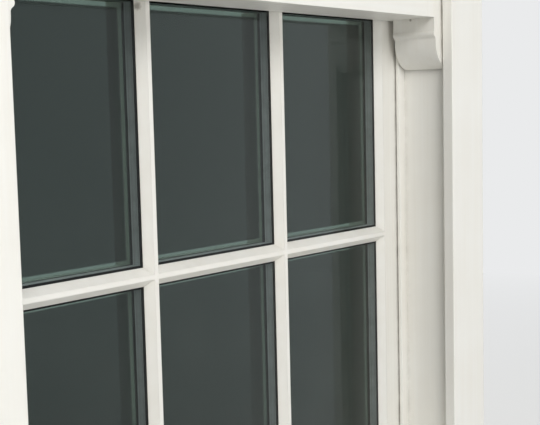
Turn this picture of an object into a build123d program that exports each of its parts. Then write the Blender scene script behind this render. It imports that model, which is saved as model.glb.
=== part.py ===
"""Box sash window, six panes over six, in its frame with cords, pulleys and weights.

X runs along the wall, Y from outdoors to indoors and Z up. X = 0 is the middle of the window,
Y = 0 the outdoor face of the outer linings and Z = 0 the underside of the sill.
"""
import os
from math import radians, sqrt, tan

from build123d import *

# Glazing
pane_width = 213.0            # sight size of one pane
pane_height = 300.0
panes_across = 3
panes_high = 2
bar_width = 22.0              # glazing bar, glass line to glass line
bar_nose = 6.0                # flat left outdoors between two putty chamfers
putty_depth = 10.5            # putty nose back to the outer glass
glass_thickness = 4.0
glass_space = 16.0            # between the two sheets of a sealed unit
unit_play = 1.0               # unit edge to timber
spacer_width = 9.5            # spacer with its edge seal
ovolo_depth = 13.0            # indoor moulding, seen from the side
ovolo_quirk = 1.5             # small square step that ends the moulding

# Sashes
sash_thickness = 68.0
stile_width = 51.0
top_rail_height = 46.0
upper_meeting_height = 42.0
lower_meeting_height = 39.5
bottom_rail_height = 92.0     # at its outdoor face, seat to glass line
tenon_length = 33.0
tenon_thickness = 18.0
tenon_shoulder = 9.0          # rail edge to tenon, above and below
bar_tenon_length = 12.0
bar_tenon_thickness = 10.0
bar_tenon_width = 12.0
drip_groove = 5.0             # square groove under the bottom rail
drip_groove_setback = 9.0

# Meeting rails
meeting_lip = 6.0             # how far the splayed faces cross between the sashes
meeting_gap = 0.5
meeting_splay_height = 28.0
meeting_end_gap = 1.5         # lip end to parting bead

# Horns of the upper stiles
horn_length = 71.0            # below the meeting rail
horn_flat = 19.0              # plain length above the nose
horn_width = 32.0             # outer edge to the plain flat
horn_nose = 1.4               # nose stands proud of the flat
horn_nose_height = 7.0
horn_waist_width = 28.5       # outer edge to the belly's plumb line
horn_waist_depth = 34.0       # rail to where the belly starts to round
horn_hollow_height = 8.0

# Box frame
side_play = 3.0               # sash edge to pulley stile
head_play = 3.0
run_play = 2.0                # sash face to lining or staff bead
upper_bead_play = 4.0         # parting bead to the upper sash
lower_bead_play = 2.0
seat_play = 0.3               # bottom rail to sill
pulley_stile_thickness = 20.0
weight_box_width = 43.5
back_lining_thickness = 6.0
outer_lining_thickness = 16.0
inner_lining_thickness = 18.0
lining_lap = 17.0             # outer lining past the pulley stile's face
tongue_thickness = 8.0
tongue_length = 6.0
head_board_thickness = 22.0
head_rise = 19.0              # linings above the head board
housing_depth = 6.0
parting_bead_thickness = 6.0
parting_bead_projection = 15.5
parting_bead_sunk = 6.5
staff_bead_projection = 15.5
arris_radius = 1.5
staff_ovolo_radius = 7.0
wagtail_thickness = 6.0
wagtail_edge_play = 1.5
wagtail_foot = 60.0           # above the sill's seat

# Sill
sill_nose = 45.0              # past the outer linings
sill_slope = 9.0              # degrees
sill_back_height = 78.0
sill_rebate = 3.3             # step behind the lower sash
sill_step = 6.0               # weather step in front of the lower sash
sill_step_setback = 4.0
sill_nose_radius = 6.0
sill_drip_radius = 4.0
sill_drip_setback = 12.0
sill_housing_height = 30.0    # floor of the housing for the pulley stile

# Pockets for reaching the weights
pocket_length = 600.0
pocket_width = 60.0
pocket_rise = 100.0           # above the sill's back
pocket_play = 0.4
pocket_splay = 12.0           # slant of both ends

# Pulleys
pulley_drop = 64.0            # head soffit to pulley axle
pulley_setback = 19.5         # pulley stile face to axle
cord_diameter = 6.0
cord_wrap_radius = 23.5       # axle to the middle of the cord
cord_groove_play = 0.3
wheel_rim_radius = 25.5
wheel_width = 9.0
wheel_side_play = 0.5
axle_radius = 3.0
axle_play = 0.05
cheek_thickness = 2.5
cheek_back = 18.0             # axle to the cheeks' back edge
case_half_height = 31.0
case_web_thickness = 2.5
faceplate_width = 28.0
faceplate_height = 115.0
faceplate_thickness = 3.0
faceplate_corner = 13.0       # nearly half round at both ends
faceplate_slot_height = 47.0
mortise_play = 0.5

# Cords in the sash edges
cord_groove_width = 8.0
cord_groove_depth = 9.0
cord_fixing_drop = 230.0      # sash top to knot
knot_radius = 5.5
knot_hole_radius = 8.0
knot_hole_depth = 16.0
knot_seat_play = 0.3
wheel_recess_width = 13.0
wheel_recess_height = 120.0

# Weights
sash_travel = 590.0
weight_width = 37.0
weight_thickness = 60.0
upper_weight_length = 545.0
lower_weight_length = 545.0
weight_corner_radius = 5.0
weight_top_drop = 60.0        # pulley axle to the top of a raised weight
weight_bore_radius = 3.8
weight_bore_depth = 30.0
weight_pocket_width = 16.0
weight_pocket_height = 18.0
weight_pocket_depth = 40.0

# Catch on the meeting rails
catch_plate_length = 64.0
catch_plate_width = 22.0
catch_plate_thickness = 4.0
catch_setback = 15.0          # lower sash face to pivot
catch_boss_radius = 9.0
catch_boss_height = 4.0
catch_pin_radius = 3.0
catch_pin_head_radius = 5.5
catch_pin_head_height = 2.4
catch_play = 0.3
catch_arm_thickness = 6.0
catch_nose_length = 43.0
catch_nose_radius = 5.0
catch_handle_length = 30.0
catch_handle_radius = 5.0
catch_knob_radius = 6.5
catch_knob_height = 8.0
keeper_length = 52.0
keeper_width = 18.0
keeper_thickness = 3.0
keeper_post = 5.0
keeper_post_play = 2.0
keeper_hook_width = 12.0
keeper_hook_thickness = 3.6
keeper_hook_play = 0.8
keeper_mouth = 14.0

# Handles on the bottom rail
handle_spacing = 400.0
handle_span = 90.0
handle_stand_off = 26.0
handle_radius = 4.5
handle_bend_radius = 12.0
handle_foot_radius = 10.0
handle_foot_thickness = 3.0
handle_height = 45.0          # below the glass line

overrun = 2.0                 # cutters pass the faces that they open

# Sizes that follow across the window
rebate = (bar_width - bar_nose) / 2
glass_back = putty_depth + 2 * glass_thickness + glass_space
sight_half_width = (panes_across * pane_width + (panes_across - 1) * bar_width) / 2
sash_half_width = sight_half_width + stile_width
pulley_stile_face = sash_half_width + side_play
pulley_stile_back = pulley_stile_face + pulley_stile_thickness
back_lining_face = pulley_stile_back + weight_box_width
frame_half_width = back_lining_face + back_lining_thickness
outer_lining_edge = pulley_stile_face - lining_lap
parting_bead_edge = pulley_stile_face - parting_bead_projection
axle_x = pulley_stile_face + pulley_setback
sash_cord_x = axle_x - cord_wrap_radius
weight_cord_x = axle_x + cord_wrap_radius

# Sizes that follow from outdoors to indoors
upper_sash_face = outer_lining_thickness + run_play
upper_sash_back = upper_sash_face + sash_thickness
parting_bead_face = upper_sash_back + upper_bead_play
parting_bead_back = parting_bead_face + parting_bead_thickness
lower_sash_face = parting_bead_back + lower_bead_play
lower_sash_back = lower_sash_face + sash_thickness
inner_lining_face = lower_sash_back + run_play
frame_back = inner_lining_face + inner_lining_thickness

# Sizes that follow up the window
slope = tan(radians(sill_slope))
seat_back_height = sill_back_height - sill_rebate


def seat_height(y):
    """Height of the sill's slope under the lower sash."""
    return seat_back_height - (inner_lining_face - y) * slope


sash_foot = seat_height(lower_sash_face) + seat_play
glazed_height = panes_high * pane_height + (panes_high - 1) * bar_width
lower_sight_foot = sash_foot + bottom_rail_height
lower_sight_top = lower_sight_foot + glazed_height
meeting_top = lower_sight_top + lower_meeting_height
upper_meeting_foot = meeting_top - upper_meeting_height
upper_sight_foot = meeting_top
upper_sight_top = upper_sight_foot + glazed_height
upper_sash_top = upper_sight_top + top_rail_height
soffit = upper_sash_top + head_play
head_board_top = soffit + head_board_thickness
frame_top = head_board_top + head_rise
axle_height = soffit - pulley_drop


def block(x_span, y_span, z_span):
    """A plain squared piece between two corners."""
    sizes = [high - low for low, high in (x_span, y_span, z_span)]
    middles = [(high + low) / 2 for low, high in (x_span, y_span, z_span)]
    return Pos(*middles) * Box(*sizes)


def run_along_x(outline, x_low, x_high):
    """A moulding whose section lies in the YZ plane."""
    section = make_face(Polyline([(x_low, y, z) for y, z in outline], close=True))
    return extrude(section, amount=x_high - x_low, dir=(1, 0, 0))


def both_sides(piece):
    """The right-hand piece and its mirror image on the left."""
    return [mirror(piece, about=Plane.YZ), piece]


def rounded_strip(x_span, y_span, z_span, corners, radius):
    """An upright strip with some of its four long arrises rounded, named by x and y side."""
    x_low, x_high = x_span
    y_low, y_high = y_span
    outline = make_face(Polyline((x_low, y_low), (x_high, y_low), (x_high, y_high), (x_low, y_high),
                                 close=True))
    middle = outline.center()
    chosen = [v for v in outline.vertices() if (v.X > middle.X, v.Y > middle.Y) in corners]
    section = fillet(chosen, radius)
    return Pos(0, 0, z_span[0]) * extrude(section, amount=z_span[1] - z_span[0])


# Sashes
def moulded_slot(half_sight, half_length, plain_side=False):
    """Slot along Z through a sash: rebated outdoors, ovolo moulded indoors."""
    wide = half_sight + rebate
    moulding_start = sash_thickness - ovolo_depth
    front = [(0, -overrun), (wide, -overrun), (wide, glass_back), (half_sight, glass_back)]
    behind = [(wide, sash_thickness + overrun), (0, sash_thickness + overrun), (0, -overrun)]
    ovolo = EllipticalCenterArc((wide, moulding_start), rebate, ovolo_depth - ovolo_quirk, 90, arc_size=90)
    moulded = make_face(
        Polyline(*front, (half_sight, moulding_start)) + ovolo
        + Polyline((wide, sash_thickness - ovolo_quirk), *behind)
    )
    other = mirror(moulded, about=Plane.YZ)
    if plain_side:
        straight = [(half_sight, sash_thickness + overrun), *behind[1:-1]]
        other = mirror(make_face(Polyline(*front, *straight, close=True)), about=Plane.YZ)
    return extrude(moulded + other, amount=half_length, both=True)


def pane_opening(plain_foot=False):
    """Space of one pane, centred on X and Z, with its walls mitred at the corners."""
    half_width = pane_width / 2
    half_height = pane_height / 2
    upright = moulded_slot(half_width, half_height + rebate)
    level = Rot(0, 90, 0) * moulded_slot(half_height, half_width + rebate, plain_foot)
    return upright & level


def pane_places(face, sight_foot):
    """Middle of each pane on the sash's outdoor face, row by row."""
    pitch_x = pane_width + bar_width
    pitch_z = pane_height + bar_width
    first_x = -pitch_x * (panes_across - 1) / 2
    return [
        Pos(first_x + column * pitch_x, face, sight_foot + pane_height / 2 + row * pitch_z)
        for row in range(panes_high) for column in range(panes_across)
    ]


def openings(face, sight_foot, plain_foot=False):
    """All pane spaces of a sash; a plain foot leaves the lowest edge without its moulding."""
    moulded = pane_opening()
    lowest = pane_opening(plain_foot)
    places = pane_places(face, sight_foot)
    return [place * (lowest if i < panes_across else moulded) for i, place in enumerate(places)]


def rail_tenon(face, z_low, z_high):
    """Right-hand tenon of a rail, set just behind the glass."""
    root = sight_half_width - overrun
    return block((root, sight_half_width + tenon_length),
                 (face + glass_back, face + glass_back + tenon_thickness),
                 (z_low + tenon_shoulder, z_high - tenon_shoulder))


def glazing_bars(face, sight_foot, spaces):
    """Vertical bars run through; level bars are tenoned between them and into the stiles."""
    places = pane_places(face, sight_foot)
    depth = (face, face + sash_thickness)
    stub = (face + glass_back, face + glass_back + bar_tenon_thickness)
    half_stub = bar_tenon_width / 2
    sight_top = sight_foot + glazed_height
    verticals = []
    vertical_stubs = []
    for column in range(panes_across - 1):
        x = (places[column].position.X + places[column + 1].position.X) / 2
        bar = block((x - bar_width / 2, x + bar_width / 2), depth, (sight_foot, sight_top))
        ends = block((x - half_stub, x + half_stub), stub,
                     (sight_foot - bar_tenon_length, sight_top + bar_tenon_length))
        verticals.append(bar - spaces + ends)
        vertical_stubs.append(ends)
    levels = []
    level_stubs = []
    half_clear = pane_width / 2
    reach = half_clear + rebate - unit_play
    for row in range(panes_high - 1):
        z = (places[row * panes_across].position.Z + places[(row + 1) * panes_across].position.Z) / 2
        for column in range(panes_across):
            x = places[column].position.X
            bar = block((x - half_clear, x + half_clear), depth, (z - bar_width / 2, z + bar_width / 2))
            ends = block((x - reach, x + reach), stub, (z - half_stub, z + half_stub))
            levels.append(bar - spaces + ends)
            level_stubs.append(ends)
    verticals = [bar - level_stubs for bar in verticals]
    return verticals, levels, vertical_stubs + level_stubs


def glazing(face, sight_foot):
    """Putty, sealed units and their spacers, one of each for every pane."""
    unit = (pane_width + 2 * (rebate - unit_play), pane_height + 2 * (rebate - unit_play))
    bed = (pane_width + 2 * rebate, pane_height + 2 * rebate)

    def sheet(size, depth):
        """Upright rectangle at a depth behind the sash's face."""
        return Plane((0, depth, 0), x_dir=(1, 0, 0), z_dir=(0, 1, 0)) * Rectangle(*size)

    inside = loft([sheet(bed, 0), sheet((pane_width, pane_height), putty_depth)])
    putty = extrude(sheet(bed, 0), amount=putty_depth) - inside
    outer = extrude(sheet(unit, putty_depth), amount=glass_thickness)
    space_face = putty_depth + glass_thickness
    hollow = (unit[0] - 2 * spacer_width, unit[1] - 2 * spacer_width)
    spacer = extrude(sheet(unit, space_face) - sheet(hollow, space_face), amount=glass_space)
    inner = Pos(0, glass_space + glass_thickness, 0) * outer
    places = pane_places(face, sight_foot)
    return [[place * piece for place in places] for piece in (putty, outer, inner, spacer)]


def cord_seat(face, sash_top):
    """Groove, knot hole and wheel recess in the right-hand sash edge."""
    middle = face + sash_thickness / 2
    knot_z = sash_top - cord_fixing_drop
    groove_floor = sash_half_width - cord_groove_depth
    edge = sash_half_width + overrun
    groove = block((groove_floor, edge), (middle - cord_groove_width / 2, middle + cord_groove_width / 2),
                   (knot_z, sash_top + overrun))
    recess = block((groove_floor, edge), (middle - wheel_recess_width / 2, middle + wheel_recess_width / 2),
                   (sash_top - wheel_recess_height, sash_top + overrun))
    hole_length = knot_hole_depth + overrun
    hole = Rot(0, 90, 0) * Cylinder(knot_hole_radius, hole_length)
    return groove + recess + Pos(edge - hole_length / 2, middle, knot_z) * hole


def horn_outline():
    """Outline of a stile's foot: flat, rounded nose, small hollow and belly that rounds to a point."""
    rail = upper_meeting_foot
    flat_x = sash_half_width - horn_width
    waist_x = sash_half_width - horn_waist_width
    tip_z = rail - horn_length
    nose_top = rail - horn_flat
    nose_foot = nose_top - horn_nose_height
    belly_z = rail - horn_waist_depth
    hollow_top = belly_z + (nose_foot - belly_z) / 2
    drop = belly_z - tip_z
    belly_radius = (horn_waist_width**2 + drop**2) / (2 * horn_waist_width)
    belly_mid_drop = drop / 2
    belly_mid_x = waist_x + belly_radius - sqrt(belly_radius**2 - belly_mid_drop**2)
    nose = ThreePointArc((flat_x, nose_top), (flat_x - horn_nose, nose_top - horn_nose_height / 2),
                         (flat_x + horn_nose / 2, nose_foot))
    hollow_mid = (flat_x + horn_nose / 2 + waist_x) / 2 + horn_nose / 2
    hollow = ThreePointArc((flat_x + horn_nose / 2, nose_foot),
                           (hollow_mid, nose_foot - horn_hollow_height / 4), (waist_x, hollow_top))
    belly = ThreePointArc((waist_x, belly_z), (belly_mid_x, belly_z - belly_mid_drop),
                          (sash_half_width, tip_z))
    flat = Line((flat_x, rail), (flat_x, nose_top))
    lines = flat + nose + hollow + Line((waist_x, hollow_top), (waist_x, belly_z))
    close = Polyline((sash_half_width, tip_z), (sash_half_width, rail), (flat_x, rail))
    return make_face(lines + belly + close)


def horn():
    """Right-hand horn, as thick as the sash."""
    outline = Plane((0, upper_sash_face, 0), x_dir=(1, 0, 0), z_dir=(0, -1, 0)) * horn_outline()
    return extrude(outline, amount=-sash_thickness)


def meeting_splay(shift):
    """Points of the slanted joint between the two meeting rails, moved towards indoors by shift."""
    low_y = parting_bead_back + shift
    high_y = low_y - meeting_lip
    return (low_y, meeting_top - meeting_splay_height), (high_y, meeting_top)


def upper_sash():
    """Upper sash, pieces by name."""
    depth = (upper_sash_face, upper_sash_back)
    spaces = openings(upper_sash_face, upper_sight_foot, plain_foot=True)
    verticals, levels, stubs = glazing_bars(upper_sash_face, upper_sight_foot, spaces)
    inside = (-sight_half_width, sight_half_width)

    top_rail = block(inside, depth, (upper_sight_top, upper_sash_top)) - spaces - stubs
    top_tenon = rail_tenon(upper_sash_face, upper_sight_top, upper_sash_top)
    top_rail = top_rail + both_sides(top_tenon)

    meeting_rail = block(inside, depth, (upper_meeting_foot, upper_sight_foot)) - spaces - stubs
    low, high = meeting_splay(-meeting_gap)
    lip_end = parting_bead_edge - meeting_end_gap
    lip = run_along_x([(upper_sash_back, upper_meeting_foot), (low[0], upper_meeting_foot), low, high,
                       (upper_sash_back, meeting_top)], -lip_end, lip_end)
    meeting_tenon = rail_tenon(upper_sash_face, upper_meeting_foot, meeting_top)
    meeting_rail = meeting_rail + lip + both_sides(meeting_tenon)

    stile = block((sight_half_width, sash_half_width), depth, (upper_meeting_foot, upper_sash_top))
    stile = stile + horn() - spaces - stubs - [top_tenon, meeting_tenon]
    stile = stile - cord_seat(upper_sash_face, upper_sash_top)
    left, right = both_sides(stile)
    putty, outer, inner, spacers = glazing(upper_sash_face, upper_sight_foot)
    return {
        "upper_sash_left_stile": left,
        "upper_sash_right_stile": right,
        "upper_sash_top_rail": top_rail,
        "upper_sash_meeting_rail": meeting_rail,
        "upper_sash_vertical_bars": verticals,
        "upper_sash_level_bars": levels,
        "upper_sash_putty": putty,
        "upper_sash_outer_glass": outer,
        "upper_sash_inner_glass": inner,
        "upper_sash_spacers": spacers,
    }


def lower_sash():
    """Lower sash, pieces by name."""
    depth = (lower_sash_face, lower_sash_back)
    spaces = openings(lower_sash_face, lower_sight_foot)
    verticals, levels, stubs = glazing_bars(lower_sash_face, lower_sight_foot, spaces)
    inside = (-sight_half_width, sight_half_width)
    seat = [(lower_sash_face - overrun, 0), (lower_sash_back + overrun, 0),
            (lower_sash_back + overrun, seat_height(lower_sash_back + overrun) + seat_play),
            (lower_sash_face - overrun, seat_height(lower_sash_face - overrun) + seat_play)]
    below = run_along_x(seat, -sash_half_width - overrun, sash_half_width + overrun)
    groove_y = lower_sash_face + drip_groove_setback
    groove_top = seat_height(groove_y) + seat_play + drip_groove
    groove = block((-sash_half_width - overrun, sash_half_width + overrun),
                   (groove_y, groove_y + drip_groove), (0, groove_top))

    bottom_rail = block(inside, depth, (0, lower_sight_foot)) - below - groove - spaces - stubs
    bottom_tenon = rail_tenon(lower_sash_face, seat_height(lower_sash_back), lower_sight_foot)
    bottom_rail = bottom_rail + both_sides(bottom_tenon)

    meeting_rail = block(inside, depth, (lower_sight_top, meeting_top)) - spaces - stubs
    low, high = meeting_splay(0)
    lip_end = parting_bead_edge - meeting_end_gap
    lip = run_along_x([low, (lower_sash_face, low[1]), (lower_sash_face, meeting_top), high],
                      -lip_end, lip_end)
    meeting_tenon = rail_tenon(lower_sash_face, lower_sight_top, meeting_top)
    meeting_rail = meeting_rail + lip + both_sides(meeting_tenon)

    stile = block((sight_half_width, sash_half_width), depth, (0, meeting_top)) - below - groove
    stile = stile - spaces - stubs - [bottom_tenon, meeting_tenon]
    stile = stile - cord_seat(lower_sash_face, meeting_top)
    left, right = both_sides(stile)
    putty, outer, inner, spacers = glazing(lower_sash_face, lower_sight_foot)
    return {
        "lower_sash_left_stile": left,
        "lower_sash_right_stile": right,
        "lower_sash_bottom_rail": bottom_rail,
        "lower_sash_meeting_rail": meeting_rail,
        "lower_sash_vertical_bars": verticals,
        "lower_sash_level_bars": levels,
        "lower_sash_putty": putty,
        "lower_sash_outer_glass": outer,
        "lower_sash_inner_glass": inner,
        "lower_sash_spacers": spacers,
    }


# Pulleys, cords and weights
def at_pulley(piece, track_y):
    """Right-hand piece drawn about the axle, moved to its pulley."""
    return Pos(axle_x, track_y, axle_height) * piece


def pulley_case():
    """Faceplate with two cheeks and the webs that join them, about the axle."""
    face_x = -pulley_setback
    cheek_y = wheel_width / 2 + wheel_side_play
    outside_y = cheek_y + cheek_thickness
    plate = block((face_x, face_x + faceplate_thickness), (-faceplate_width / 2, faceplate_width / 2),
                  (-faceplate_height / 2, faceplate_height / 2))
    plate = fillet(plate.edges().filter_by(Axis.X), faceplate_corner)
    body = block((face_x + faceplate_thickness, cheek_back), (-outside_y, outside_y),
                 (-case_half_height, case_half_height))
    room = block((face_x + faceplate_thickness, cheek_back + overrun), (-cheek_y, cheek_y),
                 (case_web_thickness - case_half_height, case_half_height - case_web_thickness))
    slot = block((face_x - overrun, face_x + faceplate_thickness + overrun), (-cheek_y, cheek_y),
                 (-faceplate_slot_height / 2, faceplate_slot_height / 2))
    pin_hole = Rot(90, 0, 0) * Cylinder(axle_radius, 2 * outside_y + overrun)
    return plate + (body - room) - slot - pin_hole


def pulley_mortise():
    """What the case takes out of the pulley stile, about the axle."""
    face_x = -pulley_setback
    half_y = wheel_width / 2 + wheel_side_play + cheek_thickness + mortise_play
    plate = block((face_x - overrun, face_x + faceplate_thickness),
                  (-faceplate_width / 2, faceplate_width / 2),
                  (-faceplate_height / 2, faceplate_height / 2))
    plate = fillet(plate.edges().filter_by(Axis.X), faceplate_corner)
    body = block((face_x, pulley_stile_thickness - pulley_setback + overrun), (-half_y, half_y),
                 (-case_half_height - mortise_play, case_half_height + mortise_play))
    return plate + body


def pulley_axle():
    """Pin across the cheeks."""
    length = wheel_width + 2 * (wheel_side_play + cheek_thickness)
    return Rot(90, 0, 0) * Cylinder(axle_radius, length)


def pulley_wheel():
    """Grooved wheel, turned about Y."""
    half = wheel_width / 2
    groove_radius = cord_diameter / 2 + cord_groove_play
    rim = cord_wrap_radius
    section = make_face(
        Polyline((groove_radius, rim), (groove_radius, wheel_rim_radius), (half, wheel_rim_radius),
                 (half, axle_radius + axle_play), (-half, axle_radius + axle_play),
                 (-half, wheel_rim_radius), (-groove_radius, wheel_rim_radius), (-groove_radius, rim))
        + ThreePointArc((-groove_radius, rim), (0, rim - groove_radius), (groove_radius, rim))
    )
    turned = revolve(section, axis=Axis.X)
    return Rot(0, 0, 90) * turned


def weight(length):
    """Iron weight, its top at the origin, with a bore and a side pocket for the knotted cord."""
    bar = Pos(0, 0, -length / 2) * Box(weight_width, weight_thickness, length)
    bar = fillet(bar.edges().filter_by(Axis.Z), weight_corner_radius)
    bar = chamfer(bar.edges().group_by(Axis.Z)[-1], weight_corner_radius / 2)
    bore = Pos(0, 0, -weight_bore_depth / 2) * Cylinder(weight_bore_radius, weight_bore_depth + 2 * overrun)
    pocket = block((-weight_pocket_width / 2, weight_pocket_width / 2),
                   (-weight_thickness / 2 - overrun, weight_pocket_depth - weight_thickness / 2),
                   (-weight_bore_depth - weight_pocket_height, -weight_bore_depth))
    return bar - bore - pocket


def cord(track_y, sash_top, weight_top):
    """Whole cord: knot in the sash edge, up, over the wheel and down to the knot in the weight."""
    radius = cord_diameter / 2
    knot_z = sash_top - cord_fixing_drop + knot_hole_radius - knot_radius - knot_seat_play
    end_z = weight_top - weight_bore_depth - knot_radius - knot_seat_play
    up = Pos(sash_cord_x, track_y, (knot_z + axle_height) / 2) * Cylinder(radius, axle_height - knot_z)
    down = Pos(weight_cord_x, track_y, (end_z + axle_height) / 2) * Cylinder(radius, axle_height - end_z)
    ring = Pos(axle_x, track_y, axle_height) * Rot(90, 0, 0) * Torus(cord_wrap_radius, radius)
    upper_half = block((sash_cord_x - cord_diameter, weight_cord_x + cord_diameter),
                       (track_y - cord_diameter, track_y + cord_diameter),
                       (axle_height, axle_height + cord_wrap_radius + cord_diameter))
    sash_knot = Pos(sash_cord_x - radius, track_y, knot_z) * Sphere(knot_radius)
    weight_knot = Pos(weight_cord_x, track_y, end_z) * Sphere(knot_radius)
    return up + (ring & upper_half) + down + sash_knot + weight_knot


def hung_gear():
    """Pulley cases, axles, wheels, cords and weights of both sashes."""
    raised_top = axle_height - weight_top_drop
    tracks = {
        "upper": ((upper_sash_face + upper_sash_back) / 2, upper_sash_top, raised_top - sash_travel,
                  upper_weight_length),
        "lower": ((lower_sash_face + lower_sash_back) / 2, meeting_top, raised_top, lower_weight_length),
    }
    pieces = {"pulley_cases": [], "pulley_axles": []}
    for sash, (track_y, sash_top, weight_top, length) in tracks.items():
        pieces["pulley_cases"] += both_sides(at_pulley(pulley_case(), track_y))
        pieces["pulley_axles"] += both_sides(at_pulley(pulley_axle(), track_y))
        hung = Pos(weight_cord_x, track_y, weight_top) * weight(length)
        sets = {
            "pulley_wheel": both_sides(at_pulley(pulley_wheel(), track_y)),
            "cord": both_sides(cord(track_y, sash_top, weight_top)),
            "weight": both_sides(hung),
        }
        for name, (left, right) in sets.items():
            pieces[f"{sash}_left_{name}"] = left
            pieces[f"{sash}_right_{name}"] = right
    return pieces


# Box frame
def sill_outline():
    """Section of the sill: nose, weathering, step, seat of the lower sash and inner edge."""
    step_y = lower_sash_face - sill_step_setback
    step_foot = seat_height(step_y) - sill_step
    nose_top = step_foot - (step_y + sill_nose) * slope
    points = [(-sill_nose, 0), (frame_back, 0), (frame_back, sill_back_height),
              (inner_lining_face, sill_back_height), (inner_lining_face, seat_back_height),
              (step_y, seat_height(step_y)), (step_y, step_foot), (-sill_nose, nose_top)]
    section = make_face(Polyline(points, close=True))
    nose = section.vertices().sort_by(Axis.X)[:2].sort_by(Axis.Y)[-1]
    section = fillet(nose, sill_nose_radius)
    return section - Pos(sill_drip_setback - sill_nose, 0) * Circle(sill_drip_radius)


def pocket_piece(play):
    """Right-hand loose length of the pulley stile, slanted at both ends, with play all round."""
    middle_y = (lower_sash_face + inner_lining_face) / 2
    foot = sill_back_height + pocket_rise
    out, back = pulley_stile_face, pulley_stile_back
    outline = [(out, foot + play), (back, foot + pocket_splay + play),
               (back, foot + pocket_length - pocket_splay - play), (out, foot + pocket_length - play)]
    half_width = pocket_width / 2 - play
    section = make_face(Polyline([(x, middle_y - half_width, z) for x, z in outline], close=True))
    return extrude(section, amount=2 * half_width, dir=(0, 1, 0))


def box_frame():
    """Sill, head, pulley stiles, linings, beads and slips."""
    sill = extrude(Plane((-frame_half_width, 0, 0), x_dir=(0, 1, 0), z_dir=(1, 0, 0)) * sill_outline(),
                   amount=2 * frame_half_width)
    full = (0, frame_top)

    tongue_x = pulley_stile_face + (pulley_stile_thickness - tongue_thickness) / 2
    tongues = block((tongue_x, tongue_x + tongue_thickness),
                    (outer_lining_thickness - tongue_length, inner_lining_face + tongue_length),
                    (sill_housing_height, soffit + housing_depth))
    stile = block((pulley_stile_face, pulley_stile_back), (outer_lining_thickness, inner_lining_face),
                  (sill_housing_height, soffit + housing_depth)) + tongues
    both_stiles = both_sides(stile)

    side_bead = rounded_strip((parting_bead_edge, pulley_stile_face + parting_bead_sunk),
                              (parting_bead_face, parting_bead_back), (0, soffit),
                              [(False, False), (False, True)], arris_radius) - sill
    bead_outline = [(parting_bead_face, soffit - parting_bead_projection),
                    (parting_bead_back, soffit - parting_bead_projection),
                    (parting_bead_back, soffit + parting_bead_sunk),
                    (parting_bead_face, soffit + parting_bead_sunk)]
    head_bead = run_along_x(bead_outline, -parting_bead_edge, parting_bead_edge)

    wagtail_y = (parting_bead_face + parting_bead_back) / 2
    wagtail = block((pulley_stile_back + wagtail_edge_play, back_lining_face - wagtail_edge_play),
                    (wagtail_y - wagtail_thickness / 2, wagtail_y + wagtail_thickness / 2),
                    (sill_back_height + wagtail_foot, head_board_top))
    head_board = block((-back_lining_face, back_lining_face), (outer_lining_thickness, inner_lining_face),
                       (soffit, head_board_top)) - both_stiles - head_bead - both_sides(wagtail)

    tracks = [(upper_sash_face + upper_sash_back) / 2, (lower_sash_face + lower_sash_back) / 2]
    mortises = [at_pulley(pulley_mortise(), y) for y in tracks]
    left_stile, right_stile = both_sides(stile - side_bead - mortises - pocket_piece(0))

    outer = rounded_strip((outer_lining_edge, frame_half_width), (0, outer_lining_thickness), full,
                          [(False, False), (False, True)], arris_radius) - sill - tongues
    inner = block((pulley_stile_face, frame_half_width), (inner_lining_face, frame_back), full)
    inner = inner - sill - tongues
    back = block((back_lining_face, frame_half_width), (outer_lining_thickness, inner_lining_face),
                 full) - sill
    head_outer = block((-outer_lining_edge, outer_lining_edge), (0, outer_lining_thickness),
                       (soffit - lining_lap, frame_top))
    head_inner = block((-pulley_stile_face, pulley_stile_face), (inner_lining_face, frame_back),
                       (soffit, frame_top))

    sill = sill - both_stiles
    left_outer, right_outer = both_sides(outer)
    left_inner, right_inner = both_sides(inner)
    left_bead, right_bead = both_sides(side_bead)
    return {
        "sill": sill,
        "head_board": head_board,
        "left_pulley_stile": left_stile,
        "right_pulley_stile": right_stile,
        "left_outer_lining": left_outer,
        "right_outer_lining": right_outer,
        "head_outer_lining": head_outer,
        "left_inner_lining": left_inner,
        "right_inner_lining": right_inner,
        "head_inner_lining": head_inner,
        "back_linings": both_sides(back),
        "wagtails": both_sides(wagtail),
        "left_parting_bead": left_bead,
        "right_parting_bead": right_bead,
        "head_parting_bead": head_bead,
        "pocket_pieces": both_sides(pocket_piece(pocket_play)),
    }


def staff_beads():
    """Beads round the room side, an ovolo on their free arris, mitred at the four corners."""
    foot = sill_back_height
    top = soffit

    def strip(length):
        """Bead along Z, its back on the line x = 0 and its free arris towards minus x."""
        outline = make_face(Polyline((-staff_bead_projection, 0), (0, 0), (0, inner_lining_thickness),
                                     (-staff_bead_projection, inner_lining_thickness), close=True))
        free = outline.vertices().group_by(Axis.X)[0]
        outline = fillet(free.sort_by(Axis.Y)[-1], staff_ovolo_radius)
        return extrude(outline, amount=length)

    height = top - foot
    width = 2 * pulley_stile_face
    side = Pos(pulley_stile_face, inner_lining_face, foot) * strip(height)
    level = Pos(-pulley_stile_face, inner_lining_face, 0) * Rot(0, 90, 0) * strip(width)
    head = Pos(0, 0, top) * mirror(level, about=Plane.XY)
    sill_bead = Pos(0, 0, foot) * level

    def mitre(corner_z, way):
        """Wedge that keeps a side bead, cut at the corner's bisector."""
        reach = 2 * staff_bead_projection
        inside = pulley_stile_face - reach
        points = [(inside, corner_z + way * reach), (pulley_stile_face, corner_z), (inside, corner_z)]
        face = make_face(Polyline([(x, inner_lining_face - overrun, z) for x, z in points], close=True))
        return extrude(face, amount=inner_lining_thickness + 2 * overrun, dir=(0, 1, 0))

    corners = [mitre(foot, 1), mitre(top, -1)]
    sides = both_sides(side - corners)
    left, right = sides
    return {
        "left_staff_bead": left,
        "right_staff_bead": right,
        "head_staff_bead": head - sides,
        "sill_staff_bead": sill_bead - sides,
    }


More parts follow.
